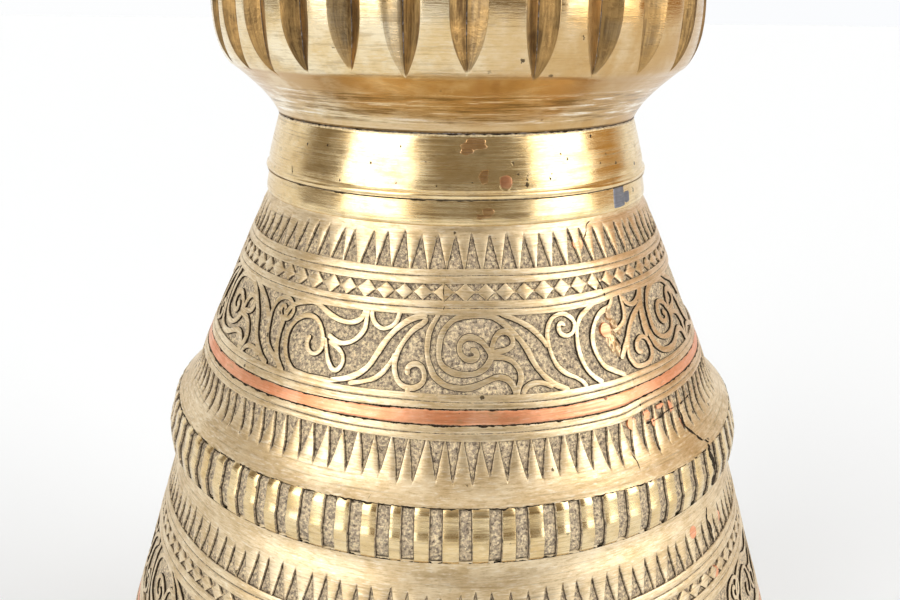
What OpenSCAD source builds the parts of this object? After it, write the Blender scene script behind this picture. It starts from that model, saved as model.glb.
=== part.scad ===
// Cast brass water pot with a wide base, two banded shoulder tiers, a fluted
// neck and a flared mouth. Millimetres, +Z up, origin under the centre of the foot.

/* [Overall] */
// Overall height, from the foot's resting face to the lip
pot_h = 520; // [516:1:528]
// Wall thickness of the castings
wall = 3; // [2.8:0.1:3.2]

/* [Foot and bowl] */
// Radius of the foot where it stands
foot_r = 112; // [108:1:116]
// Radius of the disc that closes the bottom
disc_r = 88; // [86:1:90]

/* [Gadrooned rings] */
// Largest radius of the ring round the belly
belly_ring_r = 174; // [173:0.5:176]
// Number of bars cut on the belly ring
belly_bars = 106; // [90:2:120]
// Largest radius of the ring round the waist
waist_ring_r = 134.5; // [133.5:0.5:136]
// Number of bars cut on the waist ring
waist_bars = 82; // [70:2:90]
// Depth of the slots between the bars
slot_depth = 1.2; // [0.8:0.1:1.6]

/* [Neck and mouth] */
// Largest radius of the fluted neck knop
knop_r = 104; // [103:0.5:105]
// Number of almond flutes on the knop
flute_count = 29; // [24:1:34]
// Depth of a flute at its middle
flute_depth = 4.2; // [3:0.2:4.6]
// Radius of the throat, where a lid's plug or a coconut sits
throat_r = 72; // [71:0.5:73]
// Radius of the flared lip
lip_r = 106; // [102:1:108]

/* [Metalwork] */
// Depth of the grooves that hold the copper bands
inlay_depth = 1.4; // [1:0.1:1.6]
// Depth of the sunk fields that carry the cast ornament
field_depth = 0.8; // [0.6:0.1:1]
// Diameter of the copper rivets through the collar
rivet_d = 5; // [4:0.5:6]
// Number of copper rivets through the collar
rivet_count = 3; // [3:1:6]
// Angle from the front to the left edge of the recast panel
recast_from = 38; // [38:1:42]
// Angle from the front to the right edge of the recast panel
recast_to = 94; // [80:1:100]

/* [Hidden] */
$fn = 96;

// Heights of the joints between the castings, from the ground up
foot_h = 28;
belly_z = [115, 139];
waist_z = [260, 281.5];
ledge_z = [373, 382.5];
collar_z = [382.5, 406];
rivet_z = 389;
knop_z = 450;
mouth_z = 488;

// Each casting's lip drops inside the one below, so the lips nest wall by wall
lap = 10;
belly_socket_r = 165;
waist_socket_r = 127.5;
neck_socket_r = 75.4;
neck_bore_r = neck_socket_r - 2 * wall;

// Edges of the bands on the two shoulder tiers: sunk fields, scribed lines, copper
lower_fields = [[186, 217], [223.5, 229.5]];
lower_lines = [170.5, 182.75, 220.25, 232.75];
lower_inlay_z = [173, 179.5];
upper_fields = [[316.5, 343.2], [348.5, 353.2]];
upper_lines = [304, 314.25, 345.85, 355.8];
upper_inlay_z = [306.2, 312];
recast_z = [297, 372];
tin_angle = 52.5;
rivet_angle = 12.7;
flute_angle = 1.9;
plug_depth = 2;

brass = "#b8923f";
pale_brass = "#c9a75c";
red_brass = "#b5803f";
copper = "#c8713f";
tin = "#7d7f86";

// Radius at height z on a line of [r, z] points
function on_line(z, line) =
    let (i = [for (k = [0:len(line) - 2]) if (z >= line[k][1] && z <= line[k + 1][1]) k][0])
    line[i][0] + (line[i + 1][0] - line[i][0]) * (z - line[i][1]) / (line[i + 1][1] - line[i][1]);

// Points of an arc round [r, z] centre, from angle a0 to a1 in degrees
function arc(centre, radius, a0, a1, steps) =
    [for (k = [0:steps]) let (a = a0 + (a1 - a0) * k / steps)
        [centre[0] + radius * cos(a), centre[1] + radius * sin(a)]];

// Points of a smooth bend that leaves p towards q and reaches s
function bend(p, q, s, steps) =
    [for (k = [0:steps]) let (t = k / steps)
        p * (1 - t) * (1 - t) + q * 2 * t * (1 - t) + s * t * t];

function reversed(line) = [for (k = [len(line) - 1:-1:0]) line[k]];

// Inside face of a wall: an upward line of points moved inwards by t, kept to heights z
function inside(line, t, z) =
    let (last = len(line) - 1)
    [for (k = [0:last])
        let (along = line[min(k + 1, last)] - line[max(k - 1, 0)], d = along / norm(along),
             p = line[k] + t * [-d[1], d[0]])
        if (p[1] > z[0] && p[1] < z[1]) p];

// Outer outline of the lower tier, bottom to top
lower_tier = concat(
    bend([170, belly_z[1]], [163, 145], [160.5, 155], 6),
    [[160, 168], [143, 220], [135.5, 243]],
    bend([133, 251], [130.8, 256], [130.5, waist_z[0]], 3)
);

// Outer outline of the upper tier, bottom to top
upper_tier = concat(
    bend([130, waist_z[1]], [121, 289], [118.5, 298], 6),
    [[116.9, 302], [94, 353], [88.5, 364.5]],
    bend([87, 368], [85, 371], [84.6, ledge_z[0]], 3),
    [[84.6, 373.6], [84.2, 375], [84.2, 381], [84.6, ledge_z[1]]]
);

// A solid of revolution from a closed outline of [r, z] points
module turned(outline) {
    rotate_extrude($fn = 180) polygon(outline);
}

// Block that covers the angles a0 to a1, counted from the front (-Y) towards +X
module wedge(a0, a1, z0, z1, reach) {
    far = reach / cos((a1 - a0) / 2);
    translate([0, 0, z0]) linear_extrude(z1 - z0)
        polygon([[0, 0], [far * sin(a0), -far * cos(a0)], [far * sin(a1), -far * cos(a1)]]);
}

// Turns children so that their +X points outwards at an angle from the front
module at_angle(a) {
    rotate([0, 0, a - 90]) children();
}

// The skin of a tier between two heights, down to a depth
module skin(tier, z, depth, proud) {
    r0 = on_line(z[0], tier);
    r1 = on_line(z[1], tier);
    turned([[r0 - depth, z[0]], [r0 + proud, z[0]], [r1 + proud, z[1]], [r1 - depth, z[1]]]);
}

// Sunk fields and scribed lines of a tier's banding
module banding(tier, fields, lines) {
    for (z = fields) skin(tier, z, field_depth, 3);
    for (z = lines) skin(tier, [z - 0.3, z + 0.3], 0.4, 3);
}

// Faceted section of a ring, bottom to top: undercut, upright face, sloping top
function ring_face(z, max_r, edge_r) =
    let (h = z[1] - z[0])
    [[edge_r, z[0]], [max_r - 1.2, z[0] + 0.04 * h], [max_r - 0.2, z[0] + 0.12 * h],
     [max_r, z[0] + 0.42 * h], [max_r - 0.3, z[0] + 0.48 * h], [edge_r + 1.2, z[0] + 0.93 * h],
     [edge_r, z[1]]];

// A ring with slots cut between its bars, open at the foot and top of the ring
module gadrooned_ring(socket_r, z, max_r, edge_r, bars) {
    face = ring_face(z, max_r, edge_r);
    h = z[1] - z[0];
    slot_w = 2 * PI * max_r / bars * 0.42;
    floor_r = max_r - slot_depth - 0.1;
    slot = [[floor_r, z[0] - 1], [floor_r, z[0] + 0.45 * h], [edge_r + 0.5, z[0] + 0.9 * h],
            [edge_r + 0.5, z[1] + 1], [max_r + 5, z[1] + 1], [max_r + 5, z[0] - 1]];
    difference() {
        turned(concat([[socket_r, z[0]]], face, [[socket_r, z[1]]]));
        for (k = [0:bars - 1])
            rotate([90, 0, (k + 0.5) * 360 / bars])
                translate([0, 0, -slot_w / 2]) linear_extrude(slot_w) polygon(slot);
    }
}

// Spreading foot with a bead at its top and a rebate that carries the disc
module foot_ring() color(brass) {
    neck_r = 98;
    bead_r = 5;
    outside = concat(
        [[foot_r, 0], [foot_r, 4]],
        bend([foot_r - 1, 5.5], [neck_r, 7], [neck_r, 17], 5),
        arc([neck_r, 22], bead_r, -90, 90, 6)
    );
    turned(concat(
        [[foot_r - 8, 0]], outside,
        [[96, foot_h], [disc_r, foot_h], [disc_r, foot_h - wall], [disc_r - 4, foot_h - wall],
         [disc_r - 4, foot_h - 2 * wall], [neck_r - wall, 17], [neck_r - wall, 10]]
    ));
}

module base_disc() color(pale_brass) {
    translate([0, 0, foot_h - wall]) cylinder(r = disc_r, h = wall, $fn = 180);
}

module lower_bowl() color(brass) {
    outer = bend([96, foot_h], [164, 46], [168, belly_z[0]], 16);
    turned(concat(
        [[disc_r - 4, foot_h]], outer,
        [[belly_socket_r, belly_z[0]], [belly_socket_r, belly_z[1]],
         [belly_socket_r - wall, belly_z[1]], [belly_socket_r - wall, belly_z[0] - 4]],
        reversed(inside(outer, wall, [0, belly_z[0] - 12])),
        [[disc_r - 4, foot_h + wall]]
    ));
}

module belly_ring() color(pale_brass)
    gadrooned_ring(belly_socket_r, belly_z, belly_ring_r, 169, belly_bars);

module lower_shoulder() color(brass) {
    foot_lip_r = belly_socket_r - wall;
    top_lip_r = waist_socket_r - wall;
    difference() {
        turned(concat(
            [[foot_lip_r - wall, belly_z[1] - lap], [foot_lip_r, belly_z[1] - lap],
             [foot_lip_r, belly_z[1]]],
            lower_tier,
            [[waist_socket_r, waist_z[0]], [waist_socket_r, waist_z[1]],
             [top_lip_r, waist_z[1]], [top_lip_r, waist_z[0] - 6]],
            reversed(inside(lower_tier, wall, [belly_z[1] + 12, waist_z[0] - 10])),
            [[foot_lip_r - wall, belly_z[1] + 4]]
        ));
        banding(lower_tier, lower_fields, lower_lines);
        skin(lower_tier, lower_inlay_z, inlay_depth, 3);
        plug_holes("lower", lower_tier);
    }
}

module lower_copper_band() color(copper) skin(lower_tier, lower_inlay_z, inlay_depth, 0);
module upper_copper_band() color(copper) skin(upper_tier, upper_inlay_z, inlay_depth, 0);

module waist_ring() color(pale_brass)
    gadrooned_ring(waist_socket_r, waist_z, waist_ring_r, 130, waist_bars);

// The whole upper tier, before the recast panel and the plugs are taken out of it
module upper_tier_wall() {
    foot_lip_r = waist_socket_r - wall;
    neck_lip_r = neck_socket_r - wall;
    difference() {
        turned(concat(
            [[foot_lip_r - wall, waist_z[1] - lap], [foot_lip_r, waist_z[1] - lap],
             [foot_lip_r, waist_z[1]]],
            upper_tier,
            [[neck_socket_r, ledge_z[1]], [neck_socket_r, collar_z[1]],
             [neck_lip_r, collar_z[1]], [neck_lip_r, ledge_z[1] - 4]],
            reversed(inside(upper_tier, wall, [waist_z[1] + 10, ledge_z[0] - 1])),
            [[foot_lip_r - wall, waist_z[1] + 4]]
        ));
        banding(upper_tier, upper_fields, upper_lines);
        skin(upper_tier, upper_inlay_z, inlay_depth, 3);
    }
}

// Small copper plugs: [angle from the front, height, diameter, casting it sits in]
plug_places = [
    [32, 364.5, 4.5, "upper"], [34.4, 333, 5, "upper"], [35.6, 299, 4.5, "upper"],
    [49, 291, 4.5, "upper"], [47.5, 247.5, 5, "lower"], [58, 243.5, 4.5, "lower"],
    [52.5, 225.5, 4.5, "lower"], [-131, 203, 5, "lower"], [152, 330, 5, "upper"]
];

module plug(place, tier) {
    r = on_line(place[1], tier);
    at_angle(place[0]) translate([r - plug_depth, 0, place[1]])
        rotate([0, 90, 0]) cylinder(d = place[2], h = plug_depth + 6, $fn = 32);
}

module plug_holes(owner, tier) {
    for (p = plug_places) if (p[3] == owner) plug(p, tier);
}

module copper_plugs() color(copper) {
    for (p = plug_places) {
        tier = p[3] == "lower" ? lower_tier : upper_tier;
        intersection() {
            plug(p, tier);
            turned(concat([[60, tier[0][1]]], tier, [[60, tier[len(tier) - 1][1]]]));
        }
    }
}

module upper_shoulder() color(brass) {
    difference() {
        upper_tier_wall();
        wedge(recast_from, recast_to, recast_z[0], recast_z[1], 160);
        plug_holes("upper", upper_tier);
        tin_cut();
        rivet_holes();
    }
}

// Repair cast in place with redder metal: it has the tier's own section and bands
module recast_panel() color(red_brass) {
    intersection() {
        upper_tier_wall();
        wedge(recast_from, recast_to, recast_z[0], recast_z[1], 160);
    }
}

// Space of the tin plug across the ledge under the collar
module tin_cut() {
    at_angle(tin_angle) translate([81, -3.75, ledge_z[0] + 0.6])
        cube([8, 7.5, ledge_z[1] - ledge_z[0] - 0.6]);
}

module tin_plug() color(tin) {
    intersection() {
        tin_cut();
        turned([[70, ledge_z[0]], [84.2, ledge_z[0]], [84.2, ledge_z[1]], [70, ledge_z[1]]]);
    }
}

module neck_collar() color(pale_brass) {
    lip_bead = 1.3;
    difference() {
        turned(concat(
            [[neck_socket_r, collar_z[0]], [83.6, collar_z[0]]],
            arc([83.7, collar_z[0] + lip_bead], lip_bead, -80, 80, 5),
            [[84.6, collar_z[0] + 3.4], [84.6, collar_z[0] + 6]],
            bend([84.2, collar_z[0] + 7.5], [81.5, 396], [78.4, collar_z[1]], 5),
            [[neck_socket_r, collar_z[1]]]
        ));
        rivet_holes();
    }
}

module rivet_holes() {
    for (k = [0:rivet_count - 1])
        at_angle(rivet_angle + k * 360 / rivet_count)
            translate([60, 0, rivet_z]) rotate([0, 90, 0])
                cylinder(d = rivet_d, h = 40, $fn = 32);
}

module collar_rivets() color(copper) {
    low = rivet_z - rivet_d;
    high = rivet_z + rivet_d;
    intersection() {
        rivet_holes();
        turned([[neck_bore_r, low], [84.4, low], [84.4, high], [neck_bore_r, high]]);
    }
}

module neck_knop() color(brass) {
    edge_r = 97.5;
    half = 23;
    lip_in_r = throat_r + wall;
    lower_cavetto = bend([78.4, collar_z[1]], [81, 414], [96, 426], 6);
    knop = concat(
        bend([edge_r, knop_z - half], [knop_r, 434], [knop_r, knop_z], 6),
        bend([knop_r, knop_z], [knop_r, 466], [edge_r, knop_z + half], 6)
    );
    upper_cavetto = bend([96, 474], [81, 480], [80, mouth_z], 5);
    core_r = knop_r - flute_depth - wall;
    inner = [
        [lip_in_r, mouth_z], [lip_in_r, 480], [81, 476.5], [92, 470.5],
        [core_r - 1, 462], [core_r, knop_z], [core_r - 1, 438], [92, 429.5],
        [80.5, 418], [76, 411.5], [neck_bore_r, 408]
    ];
    difference() {
        turned(concat(
            [[neck_bore_r, collar_z[0] + 2], [neck_bore_r + wall, collar_z[0] + 2],
             [neck_bore_r + wall, collar_z[1]]],
            lower_cavetto, knop, upper_cavetto, inner
        ));
        for (k = [0:flute_count - 1]) at_angle(flute_angle + k * 360 / flute_count) flute();
        rivet_holes();
    }
}

// A straight upright V-cut: the knop's own curve makes it almond-shaped
module flute() {
    opening = 1.6;
    reach = 9;
    translate([knop_r - flute_depth, 0, 424]) linear_extrude(52)
        polygon([[0, 0], [reach, -reach * opening], [reach, reach * opening]]);
}

// Flared mouth: its lip drops into the knop's top and leaves the throat bore
module mouth_rim() color(pale_brass) {
    bead = 4;
    flare = bend([80, mouth_z], [82, pot_h - 14], [lip_r - 3, pot_h - 8], 8);
    lip = arc([lip_r - bead, pot_h - bead], bead, -60, 90, 6);
    inner = bend([lip_r - 7, pot_h - 1], [84, pot_h - 14], [throat_r, mouth_z + 4], 8);
    turned(concat(
        [[throat_r, mouth_z - lap], [throat_r + wall, mouth_z - lap],
         [throat_r + wall, mouth_z]],
        flare, lip, inner
    ));
}

foot_ring();
base_disc();
lower_bowl();
belly_ring();
lower_shoulder();
lower_copper_band();
waist_ring();
upper_shoulder();
recast_panel();
upper_copper_band();
copper_plugs();
tin_plug();
neck_collar();
collar_rivets();
neck_knop();
mouth_rim();
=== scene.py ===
# Cast brass water pot: banded tiers with wax-thread scrolls, copper inlay, a fluted neck
import math

import bpy
import numpy as np
from mathutils import Matrix


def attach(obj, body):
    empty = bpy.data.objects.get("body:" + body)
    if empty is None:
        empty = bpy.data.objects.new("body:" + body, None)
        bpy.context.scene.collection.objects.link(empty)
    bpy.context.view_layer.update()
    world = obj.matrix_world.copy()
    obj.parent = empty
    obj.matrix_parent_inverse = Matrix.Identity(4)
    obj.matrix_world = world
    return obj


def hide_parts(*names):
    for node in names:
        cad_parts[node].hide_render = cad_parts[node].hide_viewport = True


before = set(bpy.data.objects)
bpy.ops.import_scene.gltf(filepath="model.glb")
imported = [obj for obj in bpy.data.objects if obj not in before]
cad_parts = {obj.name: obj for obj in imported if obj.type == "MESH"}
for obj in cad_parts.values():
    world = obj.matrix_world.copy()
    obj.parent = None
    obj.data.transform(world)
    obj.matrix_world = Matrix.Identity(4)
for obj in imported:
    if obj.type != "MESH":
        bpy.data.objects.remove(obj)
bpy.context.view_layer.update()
print("frame loaded:", len(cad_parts), "castings and fittings")

mm = 0.001
deg = math.pi / 180


# ---- outlines and hand-made unevenness ----

# Bend from p towards q to s: p(1-t)^2 + 2q t(1-t) + s t^2
def bend(p, q, s, steps=10):
    t = np.linspace(0, 1, steps + 1)[:, None]
    p, q, s = np.array(p, float), np.array(q, float), np.array(s, float)
    return p * (1 - t) ** 2 + q * 2 * t * (1 - t) + s * t ** 2


# Arc round a centre, from one angle to the other in degrees
def arc(centre, radius, start, end, steps=8):
    a = np.linspace(start, end, steps + 1)[:, None] * deg
    return np.array(centre, float) + radius * np.hstack([np.cos(a), np.sin(a)])


# Facets of the two rings of bars, bottom to top, as [radius, height] in mm
facets = {
    "waist": np.array([(130.5, 260), (133.3, 260.9), (134.3, 262.4), (134.5, 266), (134.5, 269.6),
                       (134.1, 271), (133.2, 273.4), (131.4, 280), (130, 281.5)]),
    "belly": np.array([(169, 115), (172.8, 116), (173.8, 117.9), (174, 121), (174, 125.1),
                       (173.7, 126.6), (172.8, 129), (170.4, 137.3), (169, 139)]),
}
# Outer faces, bottom to top: the whole wall from belly to ledge, the collar and the knop
faces = {
    "wall": np.vstack([
        facets["belly"], bend((170, 139.1), (163, 145), (160.5, 155), 12),
        [(160, 168), (143, 220), (135.5, 243)],
        bend((133, 251), (130.8, 256), (130.5, 259.9), 6), facets["waist"],
        bend((129.9, 281.6), (121, 289), (118.5, 298), 12), [(116.9, 302), (94, 353), (88.5, 364.5)],
        bend((87, 368), (85, 371), (84.7, 373), 6), [(85.2, 374.8), (83.7, 382.5)]]),
    "collar": np.vstack([
        [(83.4, 382.5), (84.9, 383.9), (83.5, 386.6)], bend((83.4, 388), (81.3, 396), (78.4, 406), 8)]),
    "knop": np.vstack([
        bend((78.4, 406), (81, 414), (96, 426), 12), bend((97.5, 427), (104, 434), (104, 450), 18),
        bend((104, 450), (104, 466), (97.5, 473), 18)[1:], bend((96, 474), (81, 480), (80, 488), 10)]),
}

# How far each line of the banding drifts from its height, in mm, at angles round the front
sway = {
    "angles": (-180, -50, -30, -10, 5, 20, 34, 40, 55, 180),
    "lines": {
        372.6: (0, 0, 0, 0, 0, 0, 0, 0, 0, 0),
        358.4: (0, -0.1, 0.2, -0.2, 0.2, -0.4, -0.6, -0.6, -0.8, 0),
        353.2: (0, -0.4, -0.2, 0, 0.4, 0.1, 0.2, 0.1, -0.1, 0),
        348.5: (-0.5, -1.5, -1.5, -0.7, -0.5, -1.2, -1, -0.9, -0.7, -0.5),
        343.2: (0, -1.4, -1.2, -0.3, -0.2, -1, -0.8, 0.6, 0, 0),
        316.5: (0, -0.5, -0.3, 0.5, 0, -0.8, -0.9, -0.6, -1, 0),
        312: (-0.2, -1.2, -1, 0, -0.2, -1.2, -1, -0.8, -0.7, -0.2),
        306.2: (0, -0.5, 0.4, 0.2, 0, -0.5, -0.9, 0.4, 0.7, 0),
        301.8: (0, -0.5, 0.2, -0.2, -0.7, -1.1, -1.4, 0.8, 1, 0),
        289: (0, -0.6, -0.2, -0.5, -1, -1, -1.5, -1.6, -1.6, 0),
        281.5: (0, 0.3, 0.2, 0.1, -0.2, -0.3, -1, -1.3, -1.2, 0),
        262: (0, 0, 0, 0, 0, 0, 0, 0, 0, 0),
    },
}


# Drift at an angle and height: smoothed between the angles, straight between the lines
def drift(angle, height):
    table = np.arange(-180, 181)
    heights = sorted(sway["lines"])
    shape = np.broadcast(angle, height).shape
    turn = (np.broadcast_to(angle, shape) / deg + 180) % 360 - 180
    total = np.zeros(shape)
    kernel = np.hanning(9)[1:-1]
    for k, z in enumerate(heights):
        line = np.interp(table, sway["angles"], sway["lines"][z])
        line = np.convolve(np.pad(line, 3, mode="wrap"), kernel / kernel.sum(), mode="valid")
        low = heights[k - 1] if k else z - 5
        high = heights[k + 1] if k + 1 < len(heights) else z + 5
        total += np.interp(turn, table, line) * np.interp(height, (low, z, high), (0, 1, 0))
    return total


# Slow dents of hand filing, in mm: sines of whole turns, shifted with height
def dents(angle, height, size=1.0):
    slow = 0.10 * np.sin(2 * angle + 1 + height / 60) + 0.08 * np.sin(5 * angle - height / 14)
    quick = 0.035 * np.sin(13 * angle + height / 5.5) + 0.02 * np.sin(29 * angle - height / 3.1)
    return size * (slow + quick)


# Point at an angle from the front (towards +X), radius and height in mm
def potPoint(angle, radius, height):
    angle, radius, height = np.broadcast_arrays(angle, radius, height)
    return np.stack([radius * np.sin(angle), -radius * np.cos(angle), height], -1) * mm


# Radius of a face at a height, in mm
def radiusAt(face, height):
    return np.interp(height, faces[face][:, 1], faces[face][:, 0])


# Point on a face: the outline's radius at the drifted height, less depth along its normal
def onFace(name, angle, height, depth=0.0, drifted=True):
    z = height + (drift(angle, height) if drifted else 0)
    radius = radiusAt(name, z)
    slope = radiusAt(name, z + 0.4) - radiusAt(name, z - 0.4)
    lean = np.arctan2(-slope, 0.8)
    depth = depth - dents(angle, height)
    return potPoint(angle, radius - depth * np.cos(lean), z - depth * np.sin(lean))


# ---- grids and pieces ----

# A grid of points, rows by columns, with its grime and painted shade (0 polished, 0.5 sunk ground, 1 crevice
# painted dark as shade)
def makeGrid(points, grimeAndShade=0.0, closed=True):
    rows, cols = points.shape[:2]
    step = np.linalg.norm(np.diff(points, axis=0), axis=2).mean(1)
    across = np.linalg.norm(np.diff(points, axis=1), axis=2).mean(0)
    v = np.concatenate([[0], np.cumsum(step)])
    u = np.concatenate([[0], np.cumsum(across)])
    uv = np.stack(np.broadcast_arrays(u[None, :], v[:, None]), -1)
    grimeAndShade = np.broadcast_to(grimeAndShade, (rows, cols))
    return {"points": points, "grimeAndShade": grimeAndShade, "uv": uv, "closed": closed}


sharpFrom = 38  # degrees between faces that make an edge crisp


# Joins grids into one mesh: vertices row by row, and quads between neighbours
def makeMesh(name, grids, keepFace=None):
    verts, grimesAndShade, quads, uvs, start = [], [], [], [], 0
    for g in grids:
        rows, cols = g["points"].shape[:2]
        live = cols - 1 if g["closed"] else cols
        i, j = np.meshgrid(np.arange(rows - 1), np.arange(cols - 1), indexing="ij")
        i, j = i.ravel(), j.ravel()
        corners = np.stack([i, j, i, j + 1, i + 1, j + 1, i + 1, j], 1).reshape(-1, 4, 2)
        if keepFace is not None:
            middle = g["points"][corners[..., 0], corners[..., 1]].mean(1)
            corners = corners[keepFace(middle)]
        quads.append(start + corners[..., 0] * live + corners[..., 1] % live)
        uvs.append(g["uv"][corners[..., 0], corners[..., 1]].reshape(-1, 2))
        verts.append(g["points"][:, :live].reshape(-1, 3))
        grimesAndShade.append(g["grimeAndShade"][:, :live].ravel())
        start += rows * live
    verts, quads = np.vstack(verts), np.vstack(quads)
    grimesAndShade, uvs = np.concatenate(grimesAndShade), np.vstack(uvs)
    used = np.unique(quads)
    order = np.zeros(len(verts), int)
    order[used] = np.arange(len(used))
    mesh = bpy.data.meshes.new(name)
    mesh.vertices.add(len(used))
    mesh.vertices.foreach_set("co", verts[used].astype(np.float32).ravel())
    mesh.loops.add(quads.size)
    mesh.loops.foreach_set("vertex_index", order[quads].astype(np.int32).ravel())
    mesh.polygons.add(len(quads))
    mesh.polygons.foreach_set("loop_start", np.arange(0, quads.size, 4, dtype=np.int32))
    mesh.update(calc_edges=True)
    mesh.polygons.foreach_set("use_smooth", np.ones(len(quads), bool))
    grimeAndShadeLayer = mesh.attributes.new("grimeAndShade", "FLOAT", "POINT")
    grimeAndShadeLayer.data.foreach_set("value", grimesAndShade[used].astype(np.float32))
    mesh.uv_layers.new(name="wrap").data.foreach_set("uv", uvs.astype(np.float32).ravel())
    mesh.set_sharp_from_angle(angle=sharpFrom * deg)
    return mesh


# Puts a finished piece in the scene under the root body, with its metal, and hides the castings it stands for
def addPiece(name, grids, metal, stands=(), keepFace=None):
    piece = bpy.data.objects.new(name, makeMesh(name, grids, keepFace))
    bpy.context.collection.objects.link(piece)
    piece.data.materials.append(materials[metal])
    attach(piece, "root")
    if stands:
        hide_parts(*stands)


# Angles once round the pot, with the seam behind it
def fullTurn(count):
    return np.linspace(-math.pi, math.pi, count + 1)


# Surface turned from an outline of [radius, height] points, upwards on the outside
def turned(outline, count=360, grimeAndShade=0.0, dented=1.0):
    outline = np.array(outline, float)
    angle = fullTurn(count)[None, :]
    radius, height = outline[:, :1], outline[:, 1:]
    grimeAndShade = np.array(grimeAndShade, float).reshape(-1, 1)
    return makeGrid(potPoint(angle, radius + dents(angle, height, dented), height), grimeAndShade)


# Angles of a row of notches: the middle of the land, its edge, the wall, the floor and back
def notchAngles(centre, pitch, half, wall, inset):
    half = np.minimum(half, pitch / 2 - wall - inset * 1.2)
    near = np.minimum(inset, half * 0.6)
    land = np.broadcast_to(centre - pitch / 2, half.shape)
    middle = np.broadcast_to(centre, half.shape)
    left = [land, centre - half - wall - inset, centre - half - wall, centre - half, centre - half + near]
    right = [middle, centre + half - near, centre + half, centre + half + wall, centre + half + wall + inset]
    return np.stack(left + right, -1)


notchEdge = 0.16  # width of the rounded edge of a land, in mm
notchDepth = np.array([0, 0, 0.06, 1, 1, 1, 1, 1, 0.06, 0])
# grime across a notch: the sunk ground, and painted shade at the foot of each wall
notchGrimeAndShade = np.array([0, 0, 0.4, 1, 0.55, 0.5, 0.55, 1, 0.4, 0])


# Row of notches round a face. half(t) is the half width and sink(t) the depth at share t
def notchRow(row, half, sink):
    chance = np.random.default_rng(row["seed"])
    count = row["count"]
    pitch = 2 * math.pi / count
    radius = radiusAt("wall", row["from"])
    centre = -math.pi + pitch * (np.arange(count) + 0.5 + chance.normal(0, row["uneven"], count))
    tall = 1 + chance.normal(0, row.get("ragged", 0), count)
    lean = pitch * chance.normal(0, row.get("lean", 0), count)
    wide = 1 + chance.normal(0, row["uneven"] * 1.2, count)
    share = np.array(row["shares"], float)[:, None]
    t = share / tall[None, :]
    halfWide = half(t) * wide * pitch / 2
    middle = centre + lean * np.clip(t, 0, 1)
    angle = notchAngles(middle, pitch, halfWide, row["wall"] / radius, notchEdge / radius)
    depth = row["depth"] * sink(t)[..., None] * notchDepth
    grimeAndShade = np.clip(sink(t)[..., None] * 1.3, 0, 1) * notchGrimeAndShade
    height = np.broadcast_to((row["from"] + (row["to"] - row["from"]) * share)[..., None], depth.shape)
    rows = len(share)
    angle, depth, grimeAndShade, height = (x.reshape(rows, -1) for x in (angle, depth, grimeAndShade, height))
    angle = np.hstack([angle, angle[:, :1] + 2 * math.pi])
    depth, grimeAndShade, height = (np.hstack([x, x[:, :1]]) for x in (depth, grimeAndShade, height))
    if row["to"] < row["from"]:
        angle, depth, grimeAndShade, height = (x[::-1] for x in (angle, depth, grimeAndShade, height))
    return makeGrid(onFace("wall", angle, height, depth), grimeAndShade)


# ---- materials ----

# Adds a node, sets its plain values and links the rest
def addNode(tree, kind, inputs=None, **settings):
    node = tree.nodes.new(kind)
    for key, value in settings.items():
        setattr(node, key, value)
    for key, value in (inputs or {}).items():
        if isinstance(value, bpy.types.NodeSocket):
            tree.links.new(value, node.inputs[key])
        else:
            node.inputs[key].default_value = value
    return node


def maths(tree, operation, a, b=0.0):
    return addNode(tree, "ShaderNodeMath", {0: a, 1: b}, operation=operation).outputs[0]


def times(tree, a, b):
    return maths(tree, "MULTIPLY", a, b)


def remap(tree, value, low, high, toLow=0.0, toHigh=1.0):
    inputs = {"Value": value, "From Min": low, "From Max": high, "To Min": toLow, "To Max": toHigh}
    return addNode(tree, "ShaderNodeMapRange", inputs, interpolation_type="SMOOTHSTEP").outputs[0]


def mixColour(tree, share, a, b):
    node = addNode(tree, "ShaderNodeMix", data_type="RGBA")
    for index, value in ((0, share), (6, a), (7, b)):
        if isinstance(value, bpy.types.NodeSocket):
            tree.links.new(value, node.inputs[index])
        else:
            node.inputs[index].default_value = value
    return node.outputs[2]


def noise(tree, vector, stretch, detail, rough):
    scaled = addNode(tree, "ShaderNodeMapping", {"Vector": vector, "Scale": stretch}).outputs[0]
    inputs = {"Vector": scaled, "Scale": 1.0, "Detail": detail, "Roughness": rough}
    return addNode(tree, "ShaderNodeTexNoise", inputs).outputs[0]


def rgba(r, g, b):
    return (r, g, b, 1.0)


metals = {  # two tones, roughness, how far streaks are worn pale and painted as highlights, and depth of the file marks
    "brass": {"pale": rgba(0.84, 0.69, 0.46), "deep": rgba(0.67, 0.5, 0.28),
              "rough": 0.38, "wornAndHighlight": 0.5, "marks": 0.6},
    "redBrass": {"pale": rgba(0.8, 0.59, 0.37), "deep": rgba(0.62, 0.41, 0.21),
                 "rough": 0.34, "wornAndHighlight": 0.35, "marks": 0.6},
    "paleBrass": {"pale": rgba(0.9, 0.72, 0.42), "deep": rgba(0.74, 0.53, 0.25),
                  "rough": 0.19, "wornAndHighlight": 0.22, "marks": 0.25},
    "knopBrass": {"pale": rgba(0.95, 0.82, 0.57), "deep": rgba(0.8, 0.6, 0.31),
                  "rough": 0.16, "wornAndHighlight": 0.3, "marks": 0.3},
    "copper": {"pale": rgba(0.91, 0.47, 0.28), "deep": rgba(0.78, 0.31, 0.15),
               "rough": 0.38, "wornAndHighlight": 0.2, "marks": 0.4},
    "oldCopper": {"pale": rgba(0.55, 0.27, 0.13), "deep": rgba(0.32, 0.14, 0.07),
                  "rough": 0.42, "wornAndHighlight": 0.1, "marks": 0.3},
    "stainedBrass": {"pale": rgba(0.66, 0.4, 0.19), "deep": rgba(0.5, 0.3, 0.13),
                     "rough": 0.26, "wornAndHighlight": 0.15, "marks": 0.25},
    "tin": {"pale": rgba(0.3, 0.32, 0.37), "deep": rgba(0.16, 0.17, 0.21),
            "rough": 0.42, "wornAndHighlight": 0.12, "marks": 0.4},
}
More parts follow.
